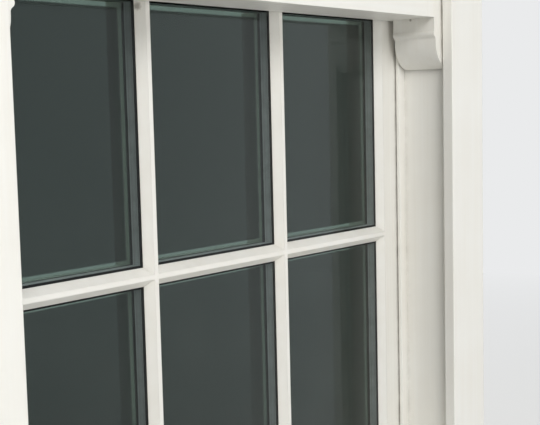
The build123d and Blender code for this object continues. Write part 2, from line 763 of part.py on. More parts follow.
# Catch and handles
def catch():
    """Fixed base, turning lever and the keeper on the other rail."""
    pivot_y = lower_sash_face + catch_setback
    at_pivot = Pos(0, pivot_y, meeting_top)
    boss_top = catch_plate_thickness + catch_boss_height
    lever_foot = boss_top + catch_play
    lever_top = lever_foot + catch_arm_thickness
    pin_top = lever_top + catch_play
    plate = extrude(RectangleRounded(catch_plate_length, catch_plate_width, arris_radius),
                    amount=catch_plate_thickness)
    boss = Pos(0, 0, boss_top / 2) * Cylinder(catch_boss_radius, boss_top)
    pin = Pos(0, 0, pin_top / 2) * Cylinder(catch_pin_radius, pin_top)
    pin_head = Cylinder(catch_pin_head_radius, catch_pin_head_height)
    pin_head = Pos(0, 0, pin_top + catch_pin_head_height / 2) * pin_head
    base = at_pivot * (plate + boss + pin + pin_head)

    def arm(length, radius):
        """Tapered arm from the hub to a round end."""
        taper = Polyline((0, -catch_boss_radius), (length, -radius), (length, radius),
                         (0, catch_boss_radius), close=True)
        return make_face(taper) + Pos(length, 0) * Circle(radius)

    outline = Circle(catch_boss_radius) + arm(catch_nose_length, catch_nose_radius)
    outline = outline + mirror(arm(catch_handle_length, catch_handle_radius), about=Plane.YZ)
    outline = outline - Circle(catch_pin_radius + axle_play)
    knob = Cylinder(catch_knob_radius, catch_knob_height)
    knob = fillet(knob.edges().sort_by(Axis.Z)[-1], arris_radius)
    knob_place = Pos(-catch_handle_length, 0, lever_top + catch_knob_height / 2)
    lever = Pos(0, 0, lever_foot) * extrude(outline, amount=catch_arm_thickness) + knob_place * knob
    lever = at_pivot * lever

    hook_y = pivot_y - catch_nose_length
    hook_foot = lever_top + keeper_hook_play
    hook_top = hook_foot + keeper_hook_thickness
    post_x = -catch_nose_radius - keeper_post_play
    hook_span = (-keeper_hook_width / 2, keeper_hook_width / 2)
    keeper = block((-keeper_length / 2, keeper_length / 2), (-keeper_width / 2, keeper_width / 2),
                   (0, keeper_thickness))
    keeper = keeper + block((post_x - keeper_post, post_x), hook_span, (0, hook_top))
    keeper = keeper + block((post_x - keeper_post, post_x + keeper_mouth), hook_span, (hook_foot, hook_top))
    keeper = Pos(0, hook_y, meeting_top) * keeper
    return {"catch_base": base, "catch_lever": lever, "catch_keeper": keeper}


def handles():
    """Two bow handles on the indoor face of the bottom rail."""
    z = lower_sight_foot - handle_height
    near, far = lower_sash_back, lower_sash_back + handle_stand_off
    bows = []
    for x in (-handle_spacing / 2, handle_spacing / 2):
        left, right = x - handle_span / 2, x + handle_span / 2
        path = FilletPolyline((left, near, z), (left, far, z), (right, far, z), (right, near, z),
                              radius=handle_bend_radius)
        section = Plane((left, near, z), z_dir=(0, 1, 0)) * Circle(handle_radius)
        bow = sweep(section, path)
        for foot_x in (left, right):
            foot = Rot(90, 0, 0) * Cylinder(handle_foot_radius, handle_foot_thickness)
            bow = bow + Pos(foot_x, near + handle_foot_thickness / 2, z) * foot
        bows.append(bow)
    return {"sash_handles": bows}


def main():
    """Build every piece and write one file for each name."""
    os.makedirs("parts", exist_ok=True)
    groups = [box_frame(), staff_beads(), hung_gear(), upper_sash(), lower_sash(), catch(), handles()]
    for group in groups:
        for name, piece in group.items():
            shapes = piece if isinstance(piece, list) else [piece]
            solids = [solid for shape in shapes for solid in shape.solids()]
            whole = Compound(children=solids) if len(solids) > 1 else solids[0]
            whole.label = name
            export_step(whole, f"parts/{name}.step")
    print("cord bend radius over the wheels:", cord_wrap_radius)
    print("glass lines:", lower_sight_foot, upper_sight_foot, "frame top:", frame_top)


main()
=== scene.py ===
# %% [markdown]
# # A sash window, dressed for close views
#
# The object is a vertical sliding window: two timber sashes of six panes each, hung on cords and
# iron weights in a hollow timber frame. Its solids are already modelled and packed, so this
# lesson starts from them and never moves them. What it adds is finish: paint that was put on
# with a brush, sealed glass, braided cord, aged brass, cast iron, and the small screws.
#
# Everything is in metres. X runs along the wall, Y from outdoors to indoors, Z up.

# %% Load the model
from math import asin, cos, pi, radians, sin, tau

import bmesh
import bpy
from mathutils import Matrix, Vector


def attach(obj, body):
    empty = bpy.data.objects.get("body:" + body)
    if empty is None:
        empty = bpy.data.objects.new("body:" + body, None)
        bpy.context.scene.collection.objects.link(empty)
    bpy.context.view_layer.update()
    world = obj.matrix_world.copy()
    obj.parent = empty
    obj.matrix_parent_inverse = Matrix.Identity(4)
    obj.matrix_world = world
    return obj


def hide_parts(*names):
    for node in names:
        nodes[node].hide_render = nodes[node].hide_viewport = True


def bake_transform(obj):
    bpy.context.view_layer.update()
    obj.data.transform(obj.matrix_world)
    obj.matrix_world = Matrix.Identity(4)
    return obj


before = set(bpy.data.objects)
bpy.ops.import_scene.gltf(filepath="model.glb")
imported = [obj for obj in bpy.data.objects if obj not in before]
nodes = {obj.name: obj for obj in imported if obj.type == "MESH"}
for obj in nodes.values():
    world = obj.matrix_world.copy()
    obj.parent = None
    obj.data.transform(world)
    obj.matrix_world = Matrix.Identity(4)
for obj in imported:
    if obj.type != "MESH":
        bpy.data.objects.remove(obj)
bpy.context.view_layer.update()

# %% [markdown]
# ## Camera
#
# The window is seen from outdoors, close by and from the left, with the lens turned a little
# down and leaning a little. A camera can be placed by eye, but its place and turn can also be
# worked out from edges whose real positions are known, which keeps every bar where it should
# be in the picture. The values below come from such a fit. The three turns are built up as
# three directions (look, right and up), which are the columns of the camera's matrix.

# %% Place the camera
image_width = 540
focal_pixels = 1077.5
sensor_width = 36.0
camera_place = Vector((-0.9667, -0.7746, 0.6551))
yaw, pitch, lean = radians(50.36), radians(5.57), radians(1.37)

look = Vector((sin(yaw) * cos(pitch), cos(yaw) * cos(pitch), -sin(pitch)))
level = Vector((cos(yaw), -sin(yaw), 0))
down = look.cross(level)
right = cos(lean) * level + sin(lean) * down
up = sin(lean) * level - cos(lean) * down

lens = bpy.data.cameras.new("Camera")
lens.sensor_width = sensor_width
lens.lens = focal_pixels / image_width * sensor_width
camera = bpy.data.objects.new("Camera", lens)
bpy.context.collection.objects.link(camera)
turn = Matrix((right, up, -look)).transposed().to_4x4()
camera.matrix_world = Matrix.Translation(camera_place) @ turn
bpy.context.scene.camera = camera
print("lens:", round(lens.lens, 2), "mm")

# %% [markdown]
# ## Node helpers
#
# Materials are made of shader nodes. Writing each one out in full takes three lines a node: make
# it, set it, link it. `put` does all three, and takes either a plain value or another node's
# output for each input. `fill` does the last two for a node that is there already, such as the
# shader that comes with a new material. `mixed` lays one colour over another.

# %% Make and link shader nodes
def put(tree, kind, inputs=None, **settings):
    """A new shader node; inputs may be plain values or other nodes' outputs."""
    node = tree.nodes.new("ShaderNode" + kind)
    for name, value in settings.items():
        setattr(node, name, value)
    fill(tree, node, inputs)
    return node


def fill(tree, node, inputs):
    """Give a node's inputs their values or links."""
    for key, value in (inputs or {}).items():
        if isinstance(value, bpy.types.NodeSocket):
            tree.links.new(value, node.inputs[key])
        else:
            node.inputs[key].default_value = value


def mixed(tree, share, first, second):
    """Colour that goes from first to second as share goes from 0 to 1."""
    node = put(tree, "Mix", {0: share, 6: first, 7: second}, data_type="RGBA")
    return node.outputs[2]


def new_material(name):
    """Material, its node tree and the shader in it."""
    material = bpy.data.materials.new(name)
    material.use_nodes = True
    return material, material.node_tree, material.node_tree.nodes["Principled BSDF"]


print("helpers for nodes: put, fill, mixed, new_material")

# %% [markdown]
# Masks and heights are numbers that change over the surface. Nearly all of them come from
# cloudy noise, steps of arithmetic, and a stretch from one range to another. Noise is worked out
# for a place, and the object's own place keeps it fixed to the piece when that moves.

# %% Arithmetic
def sums(tree, operation, first, second=0.0):
    """One step of arithmetic."""
    return put(tree, "Math", {0: first, 1: second}, operation=operation).outputs[0]


def plus(tree, first, second):
    """First and second added up."""
    return sums(tree, "ADD", first, second)


def minus(tree, first, second):
    """First with second taken away."""
    return sums(tree, "SUBTRACT", first, second)


def times(tree, first, second):
    """First multiplied by second."""
    return sums(tree, "MULTIPLY", first, second)


def spread(tree, value, low, high, start=0.0, end=1.0):
    """Value stretched so that low becomes start and high becomes end, and held there."""
    inputs = {"Value": value, "From Min": low, "From Max": high, "To Min": start, "To Max": end}
    return put(tree, "MapRange", inputs, clamp=True).outputs[0]


print("helpers for numbers: sums, plus, minus, times, spread")

# %% Noise, places and bumps
def noise(tree, place, scale, detail=2.0, rough=0.5):
    """Cloudy noise around 0.5, scale features to the metre."""
    inputs = {"Vector": place, "Scale": scale, "Detail": detail, "Roughness": rough}
    return put(tree, "TexNoise", inputs).outputs["Fac"]


def object_place(tree):
    """Where the surface is, in the part's own metres."""
    return put(tree, "TexCoord").outputs["Object"]


def scaled(tree, value, factor):
    """Vector with each of its parts multiplied."""
    return put(tree, "VectorMath", {0: value, 1: factor}, operation="MULTIPLY").outputs[0]


def one_axis(tree, value, axis):
    """The X, Y or Z part of a vector."""
    return put(tree, "SeparateXYZ", {0: value}).outputs[axis]


def bumped(tree, strength, depth, height, normal=None):
    """Surface direction tilted by a height, depth metres from lowest to highest."""
    inputs = {"Strength": strength, "Distance": depth, "Height": height}
    if normal is not None:
        inputs["Normal"] = normal
    return put(tree, "Bump", inputs).outputs[0]


print("helpers for places: noise, object_place, scaled, one_axis, bumped")

# %% [markdown]
# A node group is a small tree with named sockets of its own, which any number of materials can
# place and set to their own values. `new_group` opens an empty one, `end_group` links what it
# gives out, and `use_group` places it in a material.

# %% Open and place node groups
def new_group(name, inputs, outputs):
    """Empty node group, the sockets it is given and the node for what it gives out."""
    tree = bpy.data.node_groups.new(name, "ShaderNodeTree")
    for label, kind, value in inputs:
        socket = tree.interface.new_socket(label, in_out="INPUT", socket_type="NodeSocket" + kind)
        socket.default_value = value
    for label, kind in outputs:
        tree.interface.new_socket(label, in_out="OUTPUT", socket_type="NodeSocket" + kind)
    start = tree.nodes.new("NodeGroupInput").outputs
    end = tree.nodes.new("NodeGroupOutput")
    return tree, start, end


def end_group(tree, end, outputs):
    """Link what a group gives out."""
    fill(tree, end, outputs)
    print("group:", tree.name, "gives", *outputs)


def use_group(tree, name, inputs=None):
    """Outputs of a node group placed in a material."""
    node = tree.nodes.new("ShaderNodeGroup")
    node.node_tree = bpy.data.node_groups[name]
    fill(tree, node, inputs)
    return node.outputs


print("helpers for groups: new_group, end_group, use_group")

# %% [markdown]
# ## Effects that several finishes share
#
# The same few things happen to every surface of a window: a brush leaves fine ridges, arrises
# lose a little paint, dirt gathers in corners, dust settles on ledges, and rain leaves spots.
# The dirt in corners is drawn together with a painted shade there.
# Each effect is a node group, built once, with inputs for how strong or how large it is. It
# gives out a mask or a height only, and the material decides what to do with it.
#
# Brush marks are noise that is squeezed across the piece and drawn out along it. The input
# "Along" is that squeeze: about 1 across the grain and 0.02 along it.

# %% Brush marks
tree, given, end = new_group(
    "Brush marks",
    [("Along", "Vector", (1.0, 1.0, 0.02)), ("Bristles", "Float", 900.0)],
    [("Height", "Float"), ("Tone", "Float")],
)
place = object_place(tree)
drawn = scaled(tree, place, given["Along"])
fine = noise(tree, drawn, given["Bristles"], 3.0, 0.6)
broad = noise(tree, drawn, times(tree, given["Bristles"], 0.16), 2.0)
height = plus(tree, times(tree, fine, 0.6), times(tree, broad, 0.4))
patches = noise(tree, place, 7.0, 4.0)
tone = plus(tree, times(tree, patches, 0.6), times(tree, broad, 0.4))
end_group(tree, end, {"Height": height, "Tone": spread(tree, tone, 0.3, 0.7)})

# %% [markdown]
# An arris is where the surface's direction changes within a millimetre or two. The Bevel node
# gives the direction that a rounded edge would have, and where that differs from the real one
# there is an arris. Inside corners differ too, so they are taken out with ambient occlusion,
# which is dark there. Noise breaks the mask up, because no edge wears evenly.

# %% Worn arrises
tree, given, end = new_group(
    "Worn arrises",
    [("Width", "Float", 0.0015), ("Patches", "Float", 60.0), ("Amount", "Float", 0.5)],
    [("Mask", "Float")],
)
rounded = put(tree, "Bevel", {"Radius": given["Width"]}, samples=4).outputs[0]
real = put(tree, "NewGeometry").outputs["Normal"]
turned = put(tree, "VectorMath", {0: rounded, 1: real}, operation="DOT_PRODUCT").outputs["Value"]
arris = spread(tree, turned, 0.99, 0.85)
open_air = put(tree, "AmbientOcclusion", {"Distance": 0.006}, samples=4).outputs["AO"]
outer_edge = times(tree, arris, spread(tree, open_air, 0.55, 0.8))
place = object_place(tree)
patchy = noise(tree, place, given["Patches"], 5.0, 0.65)
limit = minus(tree, 0.75, times(tree, given["Amount"], 0.35))
worn = spread(tree, minus(tree, patchy, limit), 0.0, 0.06)
end_group(tree, end, {"Mask": times(tree, outer_edge, worn)})

# %% [markdown]
# Dirt stays where a cloth and the rain don't reach, and shade falls in the same corners, so this
# mask paints both: painted shade and dirt. Ambient occlusion finds those places: it asks how much
# of the sky above each point other surfaces hide. The noise keeps the dark line from looking ruled.

# %% Corner shade and dirt
tree, given, end = new_group(
    "Corner shade and dirt",
    [("Reach", "Float", 0.012), ("Amount", "Float", 0.6)],
    [("Mask", "Float")],
)
open_air = put(tree, "AmbientOcclusion", {"Distance": given["Reach"]}, samples=6).outputs["AO"]
# Where other surfaces hide the sky the mask darkens: painted shade, and dirt with it.
closed = spread(tree, open_air, 0.85, 0.25)
place = object_place(tree)
patchy = spread(tree, noise(tree, place, 45.0, 5.0, 0.7), 0.3, 0.65)
shade_and_dirt = times(tree, closed, patchy)
end_group(tree, end, {"Mask": times(tree, shade_and_dirt, given["Amount"])})

# %% [markdown]
# Dust settles on whatever faces up. The upward part of the surface's direction makes the mask,
# and two sizes of noise make it thin and uneven.

# %% Settled dust
tree, given, end = new_group("Settled dust", [("Amount", "Float", 0.5)], [("Mask", "Float")])
upward = one_axis(tree, put(tree, "NewGeometry").outputs["Normal"], "Z")
ledge = spread(tree, upward, 0.45, 0.95)
place = object_place(tree)
film = spread(tree, noise(tree, place, 40.0, 8.0, 0.7), 0.3, 0.75)
grains = spread(tree, noise(tree, place, 900.0, 2.0), 0.55, 0.75)
film = plus(tree, times(tree, film, 0.7), times(tree, grains, 0.3))
end_group(tree, end, {"Mask": times(tree, times(tree, ledge, film), given["Amount"])})

# %% [markdown]
# Rain dries to small round spots and a few short runs on a thin, uneven film. A Voronoi texture
# scatters points at random, and the distance to the nearest point, cut off at a small radius, is
# a spot. Each cell's own random colour decides whether its spot shows at all. Most of it is low
# down, where drops splash up from the sill.

# %% Dried rain
splash_top, splash_full = 0.62, 0.2
tree, given, end = new_group(
    "Dried rain",
    [
        ("Spots per metre", "Float", 110.0),
        ("Share", "Float", 0.22),
        ("Runs", "Float", 0.35),
        ("Film", "Float", 0.3),
        ("Amount", "Float", 1.0),
    ],
    [("Mask", "Float")],
)
place = object_place(tree)
cells = put(tree, "TexVoronoi", {"Vector": place, "Scale": given["Spots per metre"]})
chance = put(tree, "SeparateColor", {0: cells.outputs["Color"]}).outputs
shown = spread(tree, chance[0], minus(tree, 1.0, given["Share"]), 1.0)
size = times(tree, chance[1], 0.22)
spots = spread(tree, cells.outputs["Distance"], plus(tree, size, 0.08), size)
spots = times(tree, spots, spread(tree, shown, 0.0, 0.2))
tall = scaled(tree, place, (1.0, 1.0, 0.06))
runs = spread(tree, noise(tree, tall, 120.0, 4.0, 0.6), 0.62, 0.8)
runs = times(tree, runs, given["Runs"])
film = spread(tree, noise(tree, place, 9.0, 5.0, 0.6), 0.4, 0.75, 0.0, given["Film"])
height = one_axis(tree, place, "Z")
splashed = spread(tree, height, splash_top, splash_full, 0.15, 1.0)
soiled = sums(tree, "MAXIMUM", sums(tree, "MAXIMUM", spots, runs), film)
end_group(tree, end, {"Mask": times(tree, times(tree, soiled, splashed), given["Amount"])})

# %% [markdown]
# Bare softwood is sawn from a round trunk, so its growth rings are slices through tubes. The
# distance from the heart of the trunk, counted in rings, makes bands that run along the board
# and open into arches where the trunk leaned. "Across" keeps the two directions across the
# grain and drops the one along it, and "Heart" is a point on the trunk's middle line. A few
# knots, scattered like the spots of rain, push the rings aside. The window is the same on its
# left and its right, so the place is mirrored first and one heart serves both.

# %% Timber grain
trunk_lean, ring_waver, knot_push = 0.05, 0.003, 0.014
tree, given, end = new_group(
    "Timber grain",
    [
        ("Across", "Vector", (1.0, 1.0, 0.0)),
        ("Heart", "Vector", (0.4, 0.09, 0.0)),
        ("Rings per metre", "Float", 200.0),
    ],
    [("Rings", "Float"), ("Fibres", "Float"), ("Knots", "Float")],
)
place = object_place(tree)
mirrored = put(tree, "VectorMath", {0: place}, operation="ABSOLUTE").outputs[0]
away = put(tree, "VectorMath", {0: mirrored, 1: given["Heart"]}, operation="SUBTRACT").outputs[0]
away = scaled(tree, away, given["Across"])
radius = put(tree, "VectorMath", {0: away}, operation="LENGTH").outputs["Value"]


def squeezed(share):
    """Place with the direction along the grain shortened to a share of its length."""
    inputs = {0: given["Across"], 1: (1 - share,) * 3, 2: (share,) * 3}
    keep = put(tree, "VectorMath", inputs, operation="MULTIPLY_ADD").outputs[0]
    return scaled(tree, place, keep)


cells = put(tree, "TexVoronoi", {"Vector": squeezed(0.5), "Scale": 9.0}).outputs["Distance"]
beside_knot = spread(tree, cells, 0.34, 0.06)
pushed = times(tree, sums(tree, "POWER", beside_knot, 2.0), knot_push)
leaning = minus(tree, noise(tree, squeezed(0.1), 11.0, 2.0), 0.5)
lean = times(tree, leaning, trunk_lean)
wavering = minus(tree, noise(tree, squeezed(0.1), 90.0, 3.0), 0.5)
waver = times(tree, wavering, ring_waver)
radius = plus(tree, plus(tree, radius, pushed), plus(tree, lean, waver))
wave = sums(tree, "FRACT", times(tree, radius, given["Rings per metre"]))
rings = spread(tree, wave, 0.35, 1.0)
fibres = noise(tree, squeezed(0.05), 1400.0, 2.0, 0.6)
knots = spread(tree, cells, 0.10, 0.07)
end_group(tree, end, {"Rings": rings, "Fibres": fibres, "Knots": knots})

# %% [markdown]
# Metal that is handled goes dull and brown in its hollows and stays bright on its edges. This
# group only puts the tarnish together: cloudy noise at two sizes, stronger where ambient
# occlusion finds a hollow.

# %% Tarnish
tree, given, end = new_group(
    "Tarnish",
    [("Clouds", "Float", 90.0), ("Amount", "Float", 0.5)],
    [("Mask", "Float"), ("Grit", "Float")],
)
place = object_place(tree)
clouds = noise(tree, place, given["Clouds"], 6.0, 0.65)
hollow = put(tree, "AmbientOcclusion", {"Distance": 0.008}, samples=4).outputs["AO"]
stained = plus(tree, clouds, spread(tree, hollow, 0.9, 0.3, 0.0, 0.45))
limit = minus(tree, 0.85, times(tree, given["Amount"], 0.5))
tarnished = spread(tree, minus(tree, stained, limit), -0.08, 0.16)
end_group(tree, end, {"Mask": tarnished, "Grit": noise(tree, place, 2600.0, 3.0, 0.7)})

# %% [markdown]
# One more small group marks a single place: a stain or a knock of a given size around a given
# point. Its outline is torn with noise so that it doesn't look like a disc.

# %% Single mark
tree, given, end = new_group(
    "Single mark",
    [("Centre", "Vector", (0.0, 0.0, 0.0)), ("Radius", "Float", 0.004)],
    [("Mask", "Float")],
)
place = object_place(tree)
away = put(tree, "VectorMath", {0: place, 1: given["Centre"]}, operation="DISTANCE").outputs["Value"]
torn = spread(tree, noise(tree, place, 500.0, 4.0, 0.7), 0.2, 0.8, 0.5, 1.3)
reach = times(tree, given["Radius"], torn)
end_group(tree, end, {"Mask": spread(tree, away, reach, times(tree, reach, 0.4))})

# %% [markdown]
# ## Paint
#
# Window paint is thick, very slightly warm white, and satin. Three things make it look like paint
# and not like plastic: the brush marks run along each piece, the arrises are soft because paint
# pulls away from them, and grime collects where the pieces meet, drawn together with a painted
# shade there. Stiles, linings and beads run upright, rails and bars run level, so the same recipe
# is made with different brush directions.
#
# The colours are written down as they look on a screen (0 to 255) and turned into the linear
# values that shaders need.

# %% Colours as they look on a screen
def screen_colour(red, green, blue):
    """Linear colour from screen values between 0 and 255."""
    linear = []
    for value in (red, green, blue):
        share = value / 255
        linear.append(share / 12.92 if share <= 0.04045 else ((share + 0.055) / 1.055) ** 2.4)
    return (*linear, 1.0)


paint_white = screen_colour(239, 238, 233)
paint_thin = screen_colour(232, 229, 221)
primer = screen_colour(196, 186, 166)
grime_and_shade = screen_colour(112, 104, 88)
dust_colour = screen_colour(176, 170, 156)
print("white paint gives back", round(paint_white[0], 2), "of the light")

# %% [markdown]
# The recipe lays the effects over one another in the order in which they came to the real
# window: paint, then worn arrises with primer showing, then grime with painted shade in the
# corners, then dust. Two single marks are where the real window has them, a knock at the top of
# the horn and a stain in the corner of a pane.

# %% Paint recipe
along_z = (1.0, 1.0, 0.02)
along_x = (0.02, 1.0, 1.0)
all_ways = (1.0, 1.0, 1.0)
horn_knock, knock_radius = (0.3605, 0.057, 0.774), 0.0028
pane_stain, stain_radius = (-0.127, 0.105, 0.770), 0.006
mark_colour, mark_strength = screen_colour(96, 84, 62), 0.6
satin, skin_depth = (0.34, 0.46), 0.0005


def paint(name, along, bristles=900.0, wear=0.25, dirt=0.5, dust=0.25, soft=0.0011):
    """Brushed satin paint; along gives the direction of the brush, soft the round of an arris, dirt
    the strength of the painted shade and dirt in corners.
    """
    material, tree, shader = new_material(name)
    brush = use_group(tree, "Brush marks", {"Along": along, "Bristles": bristles})
    edge = use_group(tree, "Worn arrises", {"Amount": wear})["Mask"]
    corner = use_group(tree, "Corner shade and dirt", {"Amount": dirt})["Mask"]
    ledge = use_group(tree, "Settled dust", {"Amount": dust})["Mask"]
    knock = use_group(tree, "Single mark", {"Centre": horn_knock, "Radius": knock_radius})["Mask"]
    stain = use_group(tree, "Single mark", {"Centre": pane_stain, "Radius": stain_radius})["Mask"]
    colour = mixed(tree, brush["Tone"], paint_white, paint_thin)
    colour = mixed(tree, edge, colour, primer)
    # Painted shade in corners and between pieces, standing also for dirt.
    colour = mixed(tree, corner, colour, grime_and_shade)
    colour = mixed(tree, ledge, colour, dust_colour)
    marks = times(tree, sums(tree, "MAXIMUM", knock, stain), mark_strength)
    colour = mixed(tree, marks, colour, mark_colour)
    rough = spread(tree, brush["Tone"], 0.0, 1.0, *satin)
    soiled = times(tree, sums(tree, "MAXIMUM", corner, ledge), 0.3)
    rough = plus(tree, rough, soiled)
    softened = put(tree, "Bevel", {"Radius": soft}, samples=4).outputs[0]
    relief = minus(tree, brush["Height"], times(tree, edge, 0.5))
    relief = bumped(tree, 0.5, skin_depth, relief, softened)
    fill(tree, shader, {"Base Color": colour, "Roughness": rough, "Normal": relief})
    return material


# %% [markdown]
# The sill takes the rain and the sun, so its paint is the most worn and the dustiest. The putty
# chamfers are small, and a knife, not a brush, gave them their face, so their marks run all ways.

# %% Mix the paints
upright_paint = paint("upright timber paint", along_z, dirt=0.35)
level_paint = paint("level timber paint", along_x, dirt=0.4)
sill_paint = paint("sill paint", along_x, 600.0, wear=0.45, dirt=0.6, dust=0.4)
putty_paint = paint("putty paint", all_ways, 260.0, wear=0.1, dirt=0.65, dust=0.2, soft=0.0007)
print("paints:", [made.name for made in (upright_paint, level_paint, sill_paint, putty_paint)])

# %% [markdown]
# The back linings and the hanging strips inside the weight boxes are never painted: nobody sees
# them once the window is in its wall. They are sawn softwood that has turned a warm brown. The
# board over the head is the same timber, but its underside shows over the sashes, so the painter
# has painted that face alone. Which way a surface faces tells the two apart.

# %% Bare timber
pale_wood = screen_colour(198, 166, 122)
dark_wood = screen_colour(150, 106, 64)
knot_wood = screen_colour(92, 58, 34)
sawn, rings_per_metre = (0.62, 0.82), 190.0


def bare(name, across, heart, painted_below=False):
    """Sawn softwood; across holds 1 for each direction across its grain."""
    material, tree, shader = new_material(name)
    inputs = {"Across": across, "Heart": heart, "Rings per metre": rings_per_metre}
    grain = use_group(tree, "Timber grain", inputs)
    corner = use_group(tree, "Corner shade and dirt", {"Amount": 0.7, "Reach": 0.02})["Mask"]
    ledge = use_group(tree, "Settled dust", {"Amount": 0.5})["Mask"]
    colour = mixed(tree, times(tree, grain["Rings"], 0.7), pale_wood, dark_wood)
    colour = mixed(tree, spread(tree, grain["Fibres"], 0.35, 0.65, 0.0, 0.35), colour, dark_wood)
    colour = mixed(tree, grain["Knots"], colour, knot_wood)
    colour = mixed(tree, ledge, colour, dust_colour)
    rough = spread(tree, grain["Fibres"], 0.3, 0.7, *sawn)
    relief = grain["Fibres"]
    if painted_below:
        brush = use_group(tree, "Brush marks", {"Along": along_x, "Bristles": 900.0})
        upward = one_axis(tree, put(tree, "NewGeometry").outputs["True Normal"], "Z")
        coated = spread(tree, upward, -0.3, -0.7)
        colour = mixed(tree, coated, colour, mixed(tree, brush["Tone"], paint_white, paint_thin))
        rough = minus(tree, rough, times(tree, coated, 0.3))
        relief = put(tree, "Mix", {0: coated, 2: relief, 3: brush["Height"]}).outputs[0]
    # Painted shade in corners and between pieces, standing also for dirt.
    colour = mixed(tree, corner, colour, grime_and_shade)
    relief = bumped(tree, 0.5, skin_depth, relief)
    fill(tree, shader, {"Base Color": colour, "Roughness": rough, "Normal": relief})
    return material


grain_up, box_heart = (1.0, 1.0, 0.0), (0.405, 0.085, 0.0)
grain_level, head_heart = (0.0, 1.0, 1.0), (0.0, 0.07, 1.44)
upright_wood = bare("bare upright timber", grain_up, box_heart)
head_wood = bare("head board, painted below", grain_level, head_heart, painted_below=True)
print("bare timber:", upright_wood.name, "and", head_wood.name)

# %% [markdown]
# ## Glass
#
# Each pane is a sealed unit: two sheets of glass with a spacer between them. Both sheets are
# real solids, so light bends and reflects at all four faces by itself. A room behind glass is
# much darker than the street, so the sheets are tinted dark: a painted shade of that room, which
# keeps the panes dark although nothing stands behind them here. The coating in a sealed unit
# takes a little light too. Most of the painted shade is in the inner sheet, where the coating
# is, so that the spacer shows clearly through the outer one. The coating is ground off along the
# edge before a unit is sealed, which leaves a faintly green margin. All panes are equal, so the
# distance to the nearest edge follows from the distance to the nearest pane's middle.
#
# Light that falls through glass makes no sharp dark shadow. Cycles would need many samples to
# find that out, so the material lets shadow rays straight through. The outer sheets also carry
# dried rain. The dirt only changes the colour: glass that is partly rough needs far more samples
# to come out clean. The pale studio is brighter than a street, and the specular tint holds back
# what the panes mirror of it.

# %% What the glass lets through
# The two tints are painted shade of a dark room behind the panes.
outer_room_shade = (0.46, 0.51, 0.49, 1.0)
inner_room_shade = (0.052, 0.066, 0.062, 1.0)
film_tint = (0.70, 0.72, 0.68, 1.0)
mirror_tint = (0.35, 0.38, 0.38, 1.0)
shadow_tint = (0.84, 0.86, 0.85, 1.0)
margin_tint = (0.29, 0.38, 0.34, 1.0)
pane_middles_x = (0.0, 0.235)
pane_middles_z = (0.30591, 0.62791, 0.96741, 1.28941)
pane_half_width, pane_half_height, margin = 0.1065, 0.150, 0.0085
print("panes of", pane_half_width * 2000, "by", pane_half_height * 2000, "mm")

# %% Glass recipe
clear_glass = {"Metallic": 0.0, "Transmission Weight": 1.0, "Roughness": 0.0, "IOR": 1.52}


def nearest(tree, value, middles):
    """Distance from a value to the nearest of some middles."""
    gaps = [sums(tree, "ABSOLUTE", minus(tree, value, middle)) for middle in middles]
    shortest = gaps[0]
    for gap in gaps[1:]:
        shortest = sums(tree, "MINIMUM", shortest, gap)
    return shortest


def glass(name, tint, rain, coated):
    """Clear glass tinted with a painted shade of a dark room; rain is how much of it has dried on the
    sheet.
    """
    material, tree, shader = new_material(name)
    fill(tree, shader, clear_glass)
    shader.inputs["Specular Tint"].default_value = mirror_tint
    soiled = use_group(tree, "Dried rain", {"Amount": rain})["Mask"]
    colour = mixed(tree, soiled, tint, film_tint)
    if coated:
        place = object_place(tree)
        across = sums(tree, "ABSOLUTE", one_axis(tree, place, "X"))
        height = one_axis(tree, place, "Z")
        to_side = minus(tree, pane_half_width, nearest(tree, across, pane_middles_x))
        to_end = minus(tree, pane_half_height, nearest(tree, height, pane_middles_z))
        to_edge = sums(tree, "MINIMUM", to_side, to_end)
        colour = mixed(tree, spread(tree, to_edge, margin, margin * 0.85), colour, margin_tint)
    tree.links.new(colour, shader.inputs["Base Color"])
    clear = put(tree, "BsdfTransparent", {"Color": shadow_tint})
    rays = put(tree, "LightPath").outputs["Is Shadow Ray"]
    both = put(tree, "MixShader", {0: rays, 1: shader.outputs[0], 2: clear.outputs[0]})
    tree.links.new(both.outputs[0], tree.nodes["Material Output"].inputs["Surface"])
    return material


outer_glass = glass("outer glass", outer_room_shade, 0.8, coated=False)
inner_glass = glass("inner glass", inner_room_shade, 0.1, coated=True)
print("glass:", outer_glass.name, "and", inner_glass.name)

# %% [markdown]
# The spacer is a folded grey strip that keeps the two sheets apart. Its faces against the glass
# are covered with black sealant, which is the dark line that shows round each pane, and the face
# that looks into the unit has rows of tiny holes for the drying agent. The surface's direction
# tells which face is which: sealant where it points out of or into the house, strip elsewhere.
# Along the inner sheet, the last part of the strip's inward face is given the sealant's dark
# colour as well. Both sashes have the same spacers 80 mm apart, so one remainder gives the depth
# inside either of them.

# %% Where the spacer is sealed
seal = screen_colour(24, 25, 26)
spacer_front, sash_pitch, strip_depth = 0.0325, 0.080, 0.0118
depth_play = 0.001
spacer_finish, tree, shader = new_material("spacer strip and sealant")
place = object_place(tree)
haze = noise(tree, place, 60.0, 4.0)
inward = one_axis(tree, put(tree, "NewGeometry").outputs["True Normal"], "Y")
dark_faces = spread(tree, sums(tree, "ABSOLUTE", inward), 0.4, 0.6)
depth = minus(tree, one_axis(tree, place, "Y"), spacer_front - depth_play)
depth = minus(tree, sums(tree, "FLOORED_MODULO", depth, sash_pitch), depth_play)
# The last few millimetres of the strip's face, along the inner sheet, get the sealant's dark colour.
inner_dark_band = plus(tree, depth, times(tree, haze, 0.0008))
inner_dark_band = spread(tree, inner_dark_band, strip_depth, strip_depth + 0.0004)
dark_faces = sums(tree, "MAXIMUM", dark_faces, inner_dark_band)
print("dark band from", round(strip_depth * 1000, 1), "mm inside the outer sheet")

